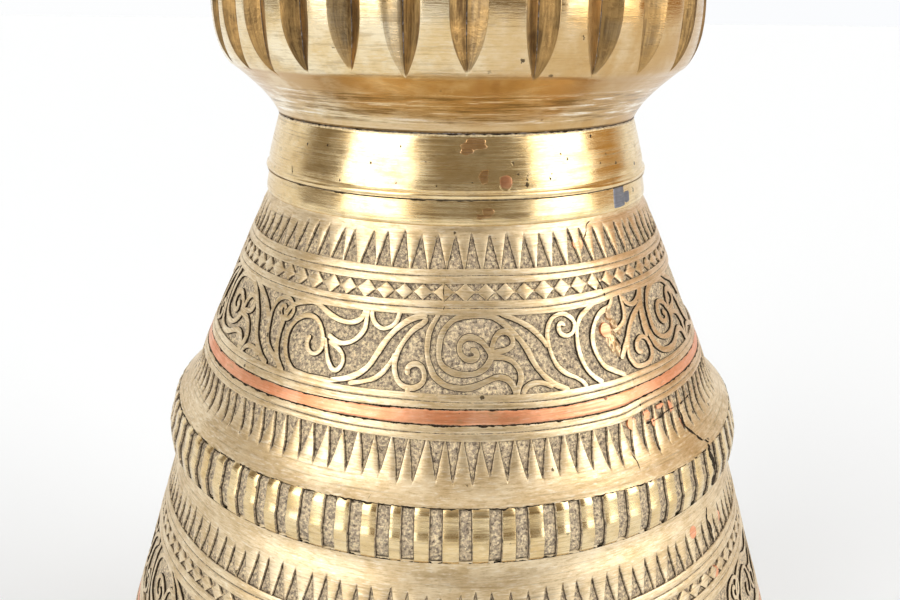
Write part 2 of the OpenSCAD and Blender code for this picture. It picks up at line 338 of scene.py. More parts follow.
crust = {  # colours that wear, dirt and tarnish leave; worn and glint also paint highlights, dark paints shade in the crevices and gaps, and tarnish paints shade on the knop's right side
    "wornAndHighlight": rgba(0.97, 0.9, 0.77), "smudge": rgba(0.4, 0.27, 0.12),
    "dark": rgba(0.045, 0.03, 0.018), "sand": rgba(0.62, 0.49, 0.33), "soot": rgba(0.35, 0.28, 0.205),
    "glint": rgba(0.95, 0.79, 0.5), "facet": rgba(0.3, 0.19, 0.075), "facetDark": rgba(0.12, 0.07, 0.03),
    "tarnish": rgba(0.55, 0.33, 0.12), "grit": rgba(0.2, 0.19, 0.2),
}
knopZones = {  # edges of the knop's finishes in metres: heights, and across for the side with painted shade
    "tarnish": (0.407, 0.421, 0.426, 0.4275), "filed": (0.4085, 0.41, 0.4195, 0.4215),
    "foot": (0.4085, 0.4105), "shadedSide": (-0.035, 0.065),
}


# Share that rises from the first edge to the second and falls from the third to the fourth
def between(tree, value, edges):
    return times(tree, remap(tree, value, edges[3], edges[2]), remap(tree, value, edges[0], edges[1]))


# Worn cast metal: file lines, mottled colour, pits, and a grainy crust in the hollows; pale worn streaks and
# bright grains are painted highlights, and crevices are painted dark as shade
def castMetal(name):
    look = metals[name]
    material = bpy.data.materials.new(name)
    material.use_nodes = True
    tree = material.node_tree
    tree.nodes.clear()
    place = addNode(tree, "ShaderNodeTexCoord").outputs["Object"]
    wrap = addNode(tree, "ShaderNodeUVMap", uv_map="wrap").outputs[0]
    spot = addNode(tree, "ShaderNodeSeparateXYZ", {0: place}).outputs
    across, height = spot[0], spot[2]
    grimeAndShade = addNode(tree, "ShaderNodeAttribute", attribute_name="grimeAndShade").outputs["Fac"]
    scratch = noise(tree, place, (26, 26, 1300), 5, 0.65)
    lines = noise(tree, place, (60, 60, 900), 4, 0.6)
    mottle = noise(tree, place, (75, 75, 75), 5, 0.6)
    cloud = noise(tree, place, (22, 22, 30), 3, 0.5)
    grain = noise(tree, place, (900, 900, 900), 3, 0.7)
    clot = noise(tree, place, (560, 560, 560), 4, 0.65)
    pits = addNode(tree, "ShaderNodeTexVoronoi", {"Vector": place, "Scale": 190.0, "Randomness": 1.0})
    chance = addNode(tree, "ShaderNodeSeparateColor", {"Color": pits.outputs["Color"]})
    reach = times(tree, remap(tree, chance.outputs[0], 0.8, 1.0), 0.16)
    waver = times(tree, maths(tree, "SUBTRACT", grain, 0.5), 0.35)
    ragged = maths(tree, "ADD", pits.outputs["Distance"], waver)
    pit = times(tree, maths(tree, "LESS_THAN", ragged, reach), remap(tree, cloud, 0.45, 0.55))

    ground = remap(tree, grimeAndShade, 0.12, 0.42)
    # the crevice share paints shade: grime near 1, at the feet of walls, in creases and in gaps, turns the
    # colour dark
    crevice = remap(tree, grimeAndShade, 0.58, 0.95)
    colour = mixColour(tree, remap(tree, mottle, 0.35, 0.68), look["pale"], look["deep"])
    colour = mixColour(tree, remap(tree, cloud, 0.35, 0.75, 0, 0.45), colour, look["deep"])
    streak = noise(tree, place, (240, 240, 1700), 4, 0.75)
    smudge = noise(tree, place, (110, 110, 260), 4, 0.6)
    colour = mixColour(tree, remap(tree, smudge, 0.54, 0.68, 0, 0.35), colour, crust["smudge"])
    colour = mixColour(tree, remap(tree, streak, 0.48, 0.34, 0, look["wornAndHighlight"]), colour, crust["smudge"])
    # painted highlights: streaks worn pale are lightened towards white as scratch highlights
    colour = mixColour(tree, remap(tree, streak, 0.52, 0.66, 0, look["wornAndHighlight"]), colour, crust["wornAndHighlight"])
    colour = mixColour(tree, remap(tree, scratch, 0.5, 0.78, 0, 0.42), colour, crust["dark"])
    roughness = remap(tree, scratch, 0.3, 0.75, look["rough"] - 0.05, look["rough"] + 0.14)
    if name == "knopBrass":  # flutes browned along their file marks, painted shade as a tarnish tint over the right side, and the foot tinted darker
        foot = remap(tree, height, knopZones["foot"][1], knopZones["foot"][0], 0, 0.5)
        colour = mixColour(tree, foot, colour, crust["tarnish"])
        # painted shade: a tarnish brown tint that grows across the knop towards its right side
        shadedSide = remap(tree, across, *knopZones["shadedSide"], 0, 0.9)
        shadedSide = times(tree, shadedSide, remap(tree, mottle, 0.25, 0.6, 0.6, 1))
        colour = mixColour(tree, shadedSide, colour, crust["tarnish"])
        upright = noise(tree, wrap, (2200, 60, 1), 4, 0.65)
        stain = between(tree, height, knopZones["tarnish"])
        stain = times(tree, stain, remap(tree, mottle, 0.3, 0.6, 0.45, 0.95))
        colour = mixColour(tree, stain, colour, crust["tarnish"])
        coarse = noise(tree, place, (34, 34, 700), 5, 0.7)
        filed = between(tree, height, knopZones["filed"])
        colour = mixColour(tree, times(tree, remap(tree, coarse, 0.48, 0.64), filed), colour, crust["facet"])
        # pale file marks in the filed band, lightened as painted highlights
        colour = mixColour(tree, times(tree, remap(tree, coarse, 0.47, 0.36), filed), colour, crust["wornAndHighlight"])
        groundColour = mixColour(tree, remap(tree, upright, 0.38, 0.62), crust["facet"], crust["facetDark"])
        groundColour = mixColour(tree, remap(tree, mottle, 0.42, 0.7, 0, 0.6), groundColour, crust["tarnish"])
        # painted shade in the flutes' creases: dark, flecked with grey grit
        pebble = remap(tree, clot, 0.5, 0.62)
        hollow = mixColour(tree, pebble, crust["dark"], crust["grit"])
        lines = mixColour(tree, ground, mixColour(tree, filed, lines, coarse), upright)
        metallic = remap(tree, crevice, 0, 1, 1.0, 0.3)
        roughness = maths(tree, "ADD", roughness, times(tree, ground, 0.2))
    else:
        groundColour = mixColour(tree, remap(tree, clot, 0.4, 0.58), crust["sand"], crust["soot"])
        groundColour = mixColour(tree, remap(tree, grain, 0.45, 0.33, 0, 0.85), groundColour, crust["dark"])
        # painted glints: grains in the sunk ground lightened to pale gold as sparkling highlights
        groundColour = mixColour(tree, remap(tree, grain, 0.5, 0.62, 0, 0.8), groundColour, crust["glint"])
        hollow = crust["dark"]
        metallic = remap(tree, ground, 0, 1, 1.0, 0.55)
        roughness = maths(tree, "ADD", roughness, times(tree, ground, 0.16))
    colour = mixColour(tree, times(tree, pit, 0.85), colour, crust["dark"])
    colour = mixColour(tree, ground, colour, groundColour)
    # painted shade: crevices darkened to the hollow colour
    colour = mixColour(tree, crevice, colour, hollow)
    roughness = maths(tree, "ADD", roughness, times(tree, crevice, 0.4))

    fileBump = addNode(tree, "ShaderNodeBump", {
        "Strength": look["marks"], "Distance": 0.00012, "Height": maths(tree, "ADD", lines, streak)})
    scratchBump = addNode(tree, "ShaderNodeBump", {
        "Strength": 0.5, "Distance": 0.00003, "Height": scratch, "Normal": fileBump.outputs[0]})
    pitBump = addNode(tree, "ShaderNodeBump", {
        "Strength": 0.3, "Distance": 0.0002, "Height": maths(tree, "SUBTRACT", 0.0, pit),
        "Normal": scratchBump.outputs[0]})
    rough = times(tree, maths(tree, "ADD", grain, clot), ground)
    groundBump = addNode(tree, "ShaderNodeBump", {
        "Strength": 0.3 if name == "knopBrass" else 1.0, "Distance": 0.0006, "Height": rough,
        "Normal": pitBump.outputs[0]})
    shader = addNode(tree, "ShaderNodeBsdfPrincipled", {
        "Base Color": colour, "Roughness": roughness, "Metallic": metallic,
        "Normal": groundBump.outputs[0]})
    addNode(tree, "ShaderNodeOutputMaterial", {"Surface": shader.outputs[0]})
    return material


materials = {name: castMetal(name) for name in metals}
print("materials made:", ", ".join(sorted(materials)))


# ---- the two tiers ----

# Repair panel on the right of the upper tier: its ragged left edge, as angle at height
panel = {
    "heights": (297, 302, 306, 312, 317, 322, 332, 340, 344, 349, 354, 358, 366, 372),
    "left": (36.4, 38.6, 38.8, 38.4, 37.4, 36.8, 36.6, 36.2, 36.4, 36, 35, 34.8, 34.2, 36.5),
    "right": 94, "bottom": 297, "top": 371.8,
}


def inPanel(middle):
    angle = np.arctan2(middle[:, 0], -middle[:, 1]) / deg
    z = middle[:, 2] / mm
    left = np.interp(z, panel["heights"], panel["left"])
    return (angle > left) & (angle < panel["right"]) & (z > panel["bottom"]) & (z < panel["top"])


def outsidePanel(middle):
    return ~inPanel(middle)


relief = {"depth": 0.95, "wall": 0.3}
tiers = {
    "upper": {
        "triangles": [
            {"count": 85, "from": 358.4, "to": 371.6, "reach": 0.88, "wide": 0.86, "sharp": 1.0, "seed": 3},
            {"count": 115, "from": 301.8, "to": 286, "reach": 0.82, "wide": 0.84, "sharp": 1.1, "seed": 5}],
        "diamonds": {"count": 79, "from": 348.5, "to": 353.2, "seed": 8},
        "bands": [(353.2, 358.4), (343.2, 348.5), (312, 316.5), (301.8, 306.2)],
        "frieze": (316.5, 343.2), "plain": [(371.6, 373), (281.5, 286)], "inlay": (306.2, 312),
    },
    "lower": {
        "triangles": [
            {"count": 132, "from": 236, "to": 250.5, "reach": 0.9, "wide": 0.86, "sharp": 1.25, "seed": 13},
            {"count": 150, "from": 168, "to": 153, "reach": 0.84, "wide": 0.84, "sharp": 1.1, "seed": 15}],
        "diamonds": {"count": 112, "from": 223.5, "to": 229.5, "seed": 18},
        "bands": [(229.5, 236), (217, 223.5), (179.5, 186), (168, 173)],
        "frieze": (186, 217), "plain": [(250.5, 260), (139, 153)], "inlay": (173, 179.5),
    },
}


# Pointed triangles: half width falls to nothing at the tip, and the last seventh grows shallow
def triangleRow(row):
    shares = np.concatenate([np.linspace(0, row["reach"], 11), np.linspace(row["reach"], 1, 5)[1:]])
    setup = {**row, **relief, "shares": shares, "uneven": 0.035, "ragged": 0.045, "lean": 0.07}
    top = row["reach"]
    return notchRow(
        setup,
        lambda t: row["wide"] * np.clip(1 - t / top, 0, 1) ** row["sharp"] + 0.012,
        lambda t: np.clip((1 - t / top) * 7, 0, 1))


# Diamonds stand between hourglass hollows: half width is widest at both ends, nothing halfway
def diamondRow(row):
    shares = np.linspace(0, 1, 9)
    setup = {**row, **relief, "shares": shares, "uneven": 0.03, "lean": 0.03}
    return notchRow(
        setup,
        lambda t: 0.86 * np.abs(2 * t - 1) + 0.01,
        lambda t: np.clip(np.abs(2 * t - 1) * 5, 0.05, 1))


# Two flat rolls with a scribed line between them: share of the height, depth, and grime with painted shade at
# the band's edges and in the scribed line
def doubleBand(low, high):
    section = np.array([
        (0, 0.95, 1), (0, 0.06, 0.3), (0.03, 0, 0), (0.12, -0.06, 0), (0.25, -0.09, 0), (0.38, -0.06, 0),
        (0.44, 0, 0), (0.47, 0.1, 0.3), (0.5, 0.3, 0.9), (0.53, 0.1, 0.3), (0.56, 0, 0), (0.63, -0.06, 0),
        (0.76, -0.09, 0), (0.88, -0.06, 0), (0.97, 0, 0), (1, 0.06, 0.3), (1, 0.95, 1)])
    angle = fullTurn(480)[None, :]
    share = section[:, :1] + 0.05 * np.sin(4 * angle + low) * np.sin(math.pi * section[:, :1])
    height = low + (high - low) * share
    return makeGrid(onFace("wall", angle, height, section[:, 1:2]), section[:, 2:3])


def plainBand(low, high):
    height = np.linspace(low, high, 7)[:, None]
    return makeGrid(onFace("wall", fullTurn(360)[None, :], height))


# Sunk ground of the frieze, with a slow unevenness of its own
def friezeGround(low, high):
    angle = fullTurn(480)[None, :]
    height = np.linspace(low, high, 20)[:, None]
    uneven = 0.1 * np.sin(23 * angle + height) * np.sin(17 * angle - height * 0.7)
    return makeGrid(onFace("wall", angle, height, relief["depth"] + uneven), 0.5)


# The shell's inside and its lips, from the outer top edge round to the outer bottom edge
shells = {
    "upper": [(84.5, 382.5), (75.4, 382.5), (75.4, 406),
              (72.4, 406), (72.4, 378.5), (81.4, 372), (85.6, 364), (113.5, 302), (115.8, 296),
              (121.5, 285.5), (121.5, 271.5), (124.5, 271.5), (124.5, 281.5), (130, 281.5)],
    "lower": [(130.5, 260), (127.5, 260), (127.5, 281.5), (124.5, 281.5), (124.5, 254), (130.4, 250),
              (132.6, 242), (140.1, 219), (157, 167), (157.5, 153), (159, 143), (159, 129), (162, 129),
              (162, 139), (170, 139)],
}


def tierGrids(name):
    tier = tiers[name]
    grids = [triangleRow(row) for row in tier["triangles"]]
    grids.append(diamondRow(tier["diamonds"]))
    grids += [doubleBand(low, high) for low, high in tier["bands"]]
    grids += [plainBand(low, high) for low, high in tier["plain"]]
    grids.append(friezeGround(*tier["frieze"]))
    grids.append(turned(shells[name], 180, dented=0.0))
    return grids


# Upright ledge under the collar, with a thin lip at its foot
def ledgeBand():
    section = np.array([  # height, depth and grime
        (373, 0, 0), (373.2, -0.2, 0), (373.8, -0.3, 0), (374.4, -0.1, 0), (374.8, 0.1, 0.15),
        (375.2, 0.02, 0), (376.5, 0, 0), (378.5, 0, 0), (380.5, 0, 0), (382, 0, 0), (382.5, 0, 0.4)])
    angle = fullTurn(720)[None, :]
    return makeGrid(onFace("wall", angle, section[:, :1], section[:, 1:2]), section[:, 2:3])


upperGrids = tierGrids("upper")
addPiece("ledge", [ledgeBand()], "paleBrass")
addPiece("upperShoulder", upperGrids, "brass", ["upper_shoulder"], outsidePanel)
addPiece("recastPanel", upperGrids[:-1], "redBrass", ["recast_panel"], inPanel)
addPiece("lowerShoulder", tierGrids("lower"), "brass", ["lower_shoulder"])
print("tiers made")


# ---- wax-thread scrolls ----

# One repeat of the frieze, as threads laid from point to point: (angle, height)
threads = {
    "archAndSwag": [
        (-36.8, 315.6), (-38, 317.2), (-39.6, 320), (-40.6, 325), (-40.8, 330), (-40.4, 335),
        (-39.4, 338.3), (-37.6, 340.4), (-35.3, 341.7), (-33, 342.3), (-30.8, 341.2), (-28, 339.2),
        (-25.5, 338), (-23, 337.8), (-21, 338.9), (-19.9, 341), (-19.6, 343.8)],
    "leafSpiral": [
        (-24.5, 316.9), (-28, 317), (-31.5, 316.9), (-34.4, 317.4), (-36.6, 320.6), (-38, 325),
        (-38.2, 330), (-36.9, 334.2), (-35, 336.6), (-33, 337.3), (-31, 336.4), (-29.6, 334),
        (-28.6, 330.5), (-28.4, 327.5), (-29.2, 325.4), (-30.4, 324.7), (-31.6, 325.6), (-32.3, 327.6),
        (-32.3, 329.4), (-31.7, 330.6)],
    "leaf": [
        (-28.2, 331), (-27.6, 329), (-26.8, 325.5), (-25.8, 322.5), (-24.6, 320.8), (-23.5, 321.6),
        (-22.9, 324), (-23.3, 326.6), (-24.8, 328.6), (-27, 330.2)],
    "hook": [
        (-18.9, 344), (-19.1, 340), (-19.2, 336.5), (-20.2, 333.6), (-21.8, 331.4), (-24, 330.3),
        (-25.8, 330.9), (-27.6, 332.4)],
    "pocket": [
        (-17.9, 344), (-18, 341.4), (-17, 338.6), (-15.3, 337.2), (-13.6, 338), (-12.4, 340),
        (-11.7, 344)],
    "slant": [
        (-5.8, 342.6), (-8.2, 341.9), (-10.2, 340.3), (-12.4, 337.2), (-14.2, 333.4), (-15.8, 328.5),
        (-17.2, 324.2), (-19.2, 321), (-21.6, 318.9), (-25, 317.2)],
    "curl": [
        (-5.7, 341.8), (-6.8, 339.9), (-8.4, 338), (-9.7, 335.5), (-10.8, 332.5), (-11.6, 329.3),
        (-11.9, 325.5), (-11.4, 321.8), (-10.4, 319.4), (-8.8, 318.3), (-7.2, 318.7), (-6, 320.5),
        (-5.8, 323), (-6.4, 325.4), (-7.6, 326.4), (-8.8, 325.6), (-9.2, 324), (-8.8, 322.4)],
    "underSlant": [
        (-12, 329.4), (-12.5, 327), (-13.2, 325), (-14.3, 322.3), (-15.8, 320.2), (-18, 318.7),
        (-20.9, 317.4)],
    "curlFoot": [(-8.8, 318.6), (-8.8, 315.6)],
    "outerArc": [
        (-3.2, 344), (-4.6, 339.8), (-5.3, 336.8), (-5.5, 333), (-5.4, 329.3), (-4.8, 326), (-4, 323),
        (-2.8, 321), (-1.4, 319.6), (0.5, 318.9), (2.6, 318.8), (4.5, 319.6), (6.4, 321), (8.4, 322.1),
        (10, 321.7), (11.1, 320.2), (11.7, 318), (12, 315.4)],
    "bigSpiral": [
        (23, 315.6), (20.4, 317.8), (18.6, 320.4), (17.1, 323.5), (16, 326.8), (15.2, 330), (14, 333.5),
        (12.8, 336), (11.6, 338.3), (10, 340.5), (8.2, 342.2), (5.5, 343), (2.5, 342.9), (0.3, 341.9),
        (-1, 340.4), (-2.2, 338), (-2.9, 335.3), (-3.1, 331.8), (-3, 328.4), (-2.2, 326), (-0.6, 324.2),
        (1.6, 323.3), (4, 323.5), (5.8, 325), (7, 327.3), (7.4, 329.5), (6.7, 331.8), (5.6, 334),
        (4, 335.5), (2.4, 335.5), (1.3, 334), (1, 331.8), (1.5, 329.6), (2.8, 328.2), (4.1, 328.5),
        (4.5, 329.8), (4.1, 331.2), (3.2, 331.2)],
    "bud": [
        (7.5, 329.8), (7.7, 332.3), (8.3, 335), (9.2, 336.7), (10.4, 337.3), (11.6, 336.3),
        (12.1, 334.2), (11.8, 332.3), (10.6, 331.1), (9.1, 330.7), (7.8, 330.1)],
    "stem": [
        (7.2, 329.1), (9.6, 328.7), (11.4, 327.5), (12.6, 325.4), (13.2, 323), (13.1, 320.5),
        (12.5, 318), (12.1, 315.4)],
    "rightSlant": [
        (9.6, 343.8), (12, 341.9), (14, 340.3), (15.8, 338.5), (17.2, 336.4), (18.5, 333.8),
        (19.6, 330.8)],
    "smallArch": [
        (13.2, 315.6), (13.9, 317.8), (15.2, 319.1), (16.8, 319.3), (18.3, 318.6), (19.6, 317.2)],
    "rightCurl": [
        (27, 315.4), (26.2, 317.4), (24.8, 319.3), (23, 321), (21.4, 323.5), (20.4, 326.8),
        (19.9, 330.5), (19.7, 334.3), (20, 336.8), (20.8, 339.3), (22.2, 341), (24.2, 341.4),
        (25.8, 340), (26.6, 338), (26.4, 336), (25.6, 334.3), (24.2, 333.8), (23, 334.8), (22.6, 336.8),
        (23.3, 338.4), (24.3, 337.2)],
}
drawnWidth = 65  # degrees that one repeat takes on the upper tier
cutShort = {  # the leaf spiral that the repair panel cuts off
    "arc": [
        (33.4, 344), (31.2, 342), (29, 340), (27.8, 338), (27, 335.5), (26.6, 331.8), (26.6, 328),
        (27, 324.3), (27.8, 321), (29, 318.4), (31, 315.4)],
    "side": [
        (37.4, 340.6), (35, 339.9), (33, 338.2), (31.4, 335), (30.6, 331.8), (30.5, 328), (31.1, 324.3),
        (32.2, 321), (34.2, 318.7), (37.2, 315.8)],
}
panelThreads = {  # squeezed between the panel's edge and its own spiral
    "hook": [(41.4, 344.4), (41.4, 340), (41.2, 337), (40.6, 334.8), (39, 333), (36.6, 331.6)],
    "pocket": [(41.8, 343), (42.8, 340.4), (44.4, 339.2), (46.4, 339.7), (48.2, 341.8), (49, 344.4)],
    "slant": [
        (48.4, 338.9), (46.4, 337.3), (43.6, 334.6), (41.6, 331.6), (40.2, 328.2), (38.6, 325),
        (36.9, 321.6)],
    "side": [(47.3, 337.6), (46.8, 334), (46.6, 330), (46.8, 326)],
    "curl": [
        (43.9, 321.7), (42.7, 322.2), (42.3, 324), (43, 325.8), (44.6, 326.9), (46.1, 325.8),
        (46.8, 323.5), (47, 321), (46.4, 318.8), (45, 317.3), (43, 317), (41, 317.6), (40, 319.5),
        (39.4, 322), (39.8, 325.6), (40.4, 328.6)],
    "slip": [(38.6, 344.4), (38, 342.4), (36.6, 340)],
}
panelRepeat = {"turn": 53, "kinds": ("outerArc", "bigSpiral", "bud", "stem", "rightSlant", "smallArch")}
backTurns = (116, 176, -126)  # degrees to the repeats behind
thread = {"width": 1.85, "uneven": 0.1, "step": 0.5, "seed": 21, "rounded": 0.9, "middle": 330,
          "wider": {"bigSpiral": 2.2, "outerArc": 2.15, "stem": 2.05, "slant": 2, "rightSlant": 2,
                    "bud": 1.95}}
threadSection = np.array([  # share of the half width, millimetres beyond it, height, and grime with painted shade at the thread's feet
    (-1, -0.2, -1.05, 1), (-1, -0.02, -0.22, 0.9), (-1, 0.12, -0.02, 0.2), (-0.6, 0, 0.015, 0),
    (0, 0, 0.02, 0), (0.6, 0, 0.015, 0), (1, -0.12, -0.02, 0.2), (1, 0.02, -0.22, 0.9), (1, 0.2, -1.05, 1)])


# Smooth line through points: Catmull-Rom pieces, then even steps along its length
def smoothLine(points, step):
    p = np.array(points, float)
    p = np.vstack([2 * p[0] - p[1], p, 2 * p[-1] - p[-2]])
    t = np.linspace(0, 1, 12, endpoint=False)[None, :, None]
    a, b, c, d = p[:-3, None], p[1:-2, None], p[2:-1, None], p[3:, None]
    square, cube = 2 * a - 5 * b + 4 * c - d, 3 * b - a - 3 * c + d
    line = 0.5 * (2 * b + (c - a) * t + square * t ** 2 + cube * t ** 3)
    line = np.vstack([line.reshape(-1, 2), p[-2:-1]])
    run = np.concatenate([[0], np.cumsum(np.linalg.norm(np.diff(line, axis=0), axis=1))])
    even = np.linspace(0, run[-1], max(4, int(run[-1] / step)))
    return np.stack([np.interp(even, run, line[:, k]) for k in (0, 1)], 1), even


# A thread: its section carried along the line on the face, rounded off at both ends
def threadGrid(points, width, chance, heightOf):
    scale = radiusAt("wall", heightOf(thread["middle"])) * deg
    flat = np.array([(a * scale, heightOf(z)) for a, z in points])
    line, run = smoothLine(flat, thread["step"])
    ahead = np.gradient(line, axis=0)
    ahead /= np.linalg.norm(ahead, axis=1)[:, None]
    side = np.stack([ahead[:, 1], -ahead[:, 0]], 1)
    end = np.minimum(run, run[-1] - run)
    phase = chance.uniform(0, 6.28)
    half = width / 2 * (1 + thread["uneven"] * np.sin(run * 0.45 + phase) + chance.normal(0, 0.05))
    narrowing = np.sqrt(np.clip(1 - (1 - np.clip(end / thread["rounded"], 0, 1)) ** 2, 0.0004, 1))
    offset = (threadSection[:, 0] * half[:, None] + threadSection[:, 1]) * narrowing[:, None]
    lift = chance.uniform(-0.035, 0.02)
    at = line[:, None, :] + side[:, None, :] * offset[..., None]
    angle, z = at[..., 0] / scale * deg, at[..., 1]
    return angle.T[::-1], z.T[::-1], -(threadSection[:, 2] + lift)[::-1], threadSection[::-1, 3]


# Lays a set of threads, turned by an offset in degrees and scaled from the upper to a tier's frieze
def layThreads(name, sets, offset, chance, narrow=1.0, keep=True):
    low, high = tiers[name]["frieze"]
    drawnLow, drawnHigh = tiers["upper"]["frieze"]

    def heightOf(z):
        return low + (np.asarray(z, float) - drawnLow) * (high - low) / (drawnHigh - drawnLow)

    grids = []
    for kind, points in sets.items():
        placed = [(a * narrow + offset, z) for a, z in points]
        width = thread["wider"].get(kind, thread["width"])
        angle, z, depth, grimeAndShade = threadGrid(placed, width, chance, heightOf)
        if keep:
            z = z + drift(angle, z) - drift(angle - offset * deg, z)
        points = onFace("wall", angle, z, depth[:, None], drifted=False)
        grids.append(makeGrid(points, grimeAndShade[:, None], closed=False))
    return grids


chance = np.random.default_rng(thread["seed"])
front = layThreads("upper", threads, 0, chance) + layThreads("upper", cutShort, 0, chance)
front += layThreads("upper", threads, -drawnWidth, chance)
front += layThreads("upper", {k: threads[k] for k in panelRepeat["kinds"]}, panelRepeat["turn"], chance)
panelGrids = layThreads("upper", panelThreads, 0, chance)
back = []
for offset in backTurns:
    back += layThreads("upper", threads, offset, chance)
addPiece("upperScrollsFront", front, "brass", keepFace=outsidePanel)
addPiece("panelScrolls", front + panelGrids, "redBrass", keepFace=inPanel)
addPiece("upperScrollsBack", back, "brass", keepFace=outsidePanel)
lowerRepeats = 7
lowerTurn = -12  # degrees from the front to the lower tier's first repeat
lowerNarrow = 360 / lowerRepeats / drawnWidth
for half, repeats in (("Front", range(-1, 3)), ("Back", range(3, 6))):
    lowerGrids = []
    for k in repeats:
        offset = k * 360 / lowerRepeats + lowerTurn
        lowerGrids += layThreads("lower", threads, offset, chance, lowerNarrow, keep=False)
    addPiece("lowerScrolls" + half, lowerGrids, "brass")
print("scrolls laid")


# ---- rings of bars ----

slotShare = 0.42  # share of the pitch that a slot takes
rings = {
    "waist": {"count": 82, "from": 260, "to": 281.5, "depth": 1.15, "wall": 0.3, "uneven": 0.028,
              "seed": 31, "socket": 127.5, "node": "waist_ring"},
    "belly": {"count": 106, "from": 115, "to": 139, "depth": 1.2, "wall": 0.3, "uneven": 0.028,
              "seed": 32, "socket": 165, "node": "belly_ring"},
}


# Bars and slots of even width from the foot of the ring to its top, with crisp facets between
def barRing(name, ring):
    line = facets[name]
    height = ring["to"] - ring["from"]
    cuts = (line[:, 1] - ring["from"]) / height
    shares = np.unique(np.concatenate([cuts, np.linspace(0, 1, 9)]))
    setup = {**ring, "shares": shares, "lean": 0.02}
    bars = notchRow(setup, lambda t: slotShare + 0 * t, lambda t: 1 + 0 * t)
    edge, top = line[0], line[-1]
    socket = [(top[0], ring["to"]), (ring["socket"], ring["to"]),
              (ring["socket"], ring["from"]), (edge[0], ring["from"])]
    return [bars, turned(socket, 180, dented=0.0)]


for name, ring in rings.items():
    addPiece(name + "Ring", barRing(name, ring), "paleBrass", [ring["node"]])
print("rings cut")


# ---- neck: fluted knop, collar and mouth ----

flutes = {"count": 29, "first": 1.9, "drift": 12, "half": 3.75, "depth": 4.2, "low": 427, "high": 473,
          "inset": 0.004, "browned": (0.55, 1.15), "seed": 41}
# Across half a flute, from its edge: reach from the crease, share of the depth, and grime that browns the
# faces and near the crease paints shade
fluteSide = [(1, 0, 0), (0.98, 0.02, 0.45), (0.66, 0.36, 0.5), (0.3, 0.74, 0.5), (0.08, 0.96, 0.62)]


# Lands and V flutes: half width is that of an almond, 1 - |q|^2.5 with q the share from its middle,
# and depth falls almost straight from both edges to an off-centre crease
def knopGrid():
    chance = np.random.default_rng(flutes["seed"])
    count = flutes["count"]
    even = flutes["first"] * deg + 2 * math.pi * np.arange(-(count // 2), count - count // 2) / count
    centre = even + flutes["drift"] * deg * (1 - np.cos(even)) + chance.normal(0, 0.006, count)
    nextOne = np.append(centre[1:], centre[0] + 2 * math.pi)
    lastOne = np.append(centre[-1] - 2 * math.pi, centre[:-1])
    line = faces["knop"]
    height = line[:, 1][:, None]
    shift = chance.normal(0, 1.0, (2, count))
    low, high = flutes["low"] + shift[0], flutes["high"] + shift[1]
    q = np.clip((height - (low + high) / 2) / ((high - low) / 2), -1, 1)
    almond = np.clip(1 - np.abs(q) ** 2.5, 0, 1)
    half = flutes["half"] * deg * (1 + chance.normal(0, 0.08, count)) * almond + 0.0006
    crease = half * chance.normal(0, 0.14, count)
    sink = flutes["depth"] * (1 + chance.normal(0, 0.06, count)) * almond
    landLeft = (lastOne + centre) / 2
    landRight = (centre + nextOne) / 2
    inset = flutes["inset"]
    columns, depths, grimesAndShade = [], [], []
    for share in (0, 0.5):
        edge = centre - half - inset
        columns.append(landLeft + (edge - landLeft) * share)
        depths.append(0 * half)
        grimesAndShade.append(0 * half)
    browned = np.clip(almond * 6, 0, 1) * chance.uniform(*flutes["browned"], (2, 1, count))
    for reach, deep, dark in fluteSide:
        columns.append(centre + crease * (1 - reach) - half * reach - (inset if reach == 1 else 0))
        depths.append(sink * deep)
        grimesAndShade.append(browned[0] * dark)
    # the crease, painted dark as shade
    columns.append(centre + crease)
    depths.append(sink)
    grimesAndShade.append(np.clip(almond * 6, 0, 1) * 0.95)
    for reach, deep, dark in reversed(fluteSide):
        columns.append(centre + crease * (1 - reach) + half * reach + (inset if reach == 1 else 0))
        depths.append(sink * deep)
        grimesAndShade.append(browned[1] * dark)
    columns.append(centre + half + inset + (landRight - centre - half - inset) * 0.5)
    depths.append(0 * half)
    grimesAndShade.append(0 * half)
    rows = len(line)
    angle, depth, grimeAndShade = (np.stack(x, -1).reshape(rows, -1) for x in (columns, depths, grimesAndShade))
    angle = np.hstack([angle, angle[:, :1] + 2 * math.pi])
    depth, grimeAndShade = (np.hstack([x, x[:, :1]]) for x in (depth, grimeAndShade))
    radius = line[:, :1] - depth + dents(angle, height, 1.8)
    foot = np.clip(1 - (height - 406) / 0.8, 0, 1)
    return makeGrid(potPoint(angle, radius, height), np.maximum(grimeAndShade, foot))


knopInside = [(80, 488), (75, 488), (75, 480), (81, 476.5), (92, 470.5), (95.8, 462), (96.8, 450), (95.8, 438),
              (92, 429.5), (80.5, 418), (76, 411.5), (69.4, 408), (69.4, 384.5), (72.4, 384.5), (72.4, 406),
              (78.4, 406)]
collarFace = np.vstack([
    [(75.4, 382.5), (83.4, 382.5)], arc((83.4, 384), 1.5, -75, 62, 8),
    bend((84, 385.6), (83.6, 385.9), (83.5, 386.6), 3),
    bend((83.4, 388), (81.3, 396), (78.4, 405.6), 12), [(78.1, 406), (75.4, 406), (75.4, 382.5)]])
# painted shade: the collar darkened at its foot under the lip and at its top under the knop
collarGrimeAndShade = np.interp(collarFace[:, 1], (382.5, 383.2, 405.4, 406), (1, 0, 0, 0.8))
mouthFace = np.vstack([
    [(72, 478), (75, 478), (75, 488)], bend((80, 488), (82, 506), (103, 512), 16),
    arc((102, 516), 4, -60, 90, 10), bend((99, 519), (84, 506), (72, 492), 14), [(72, 478)]])

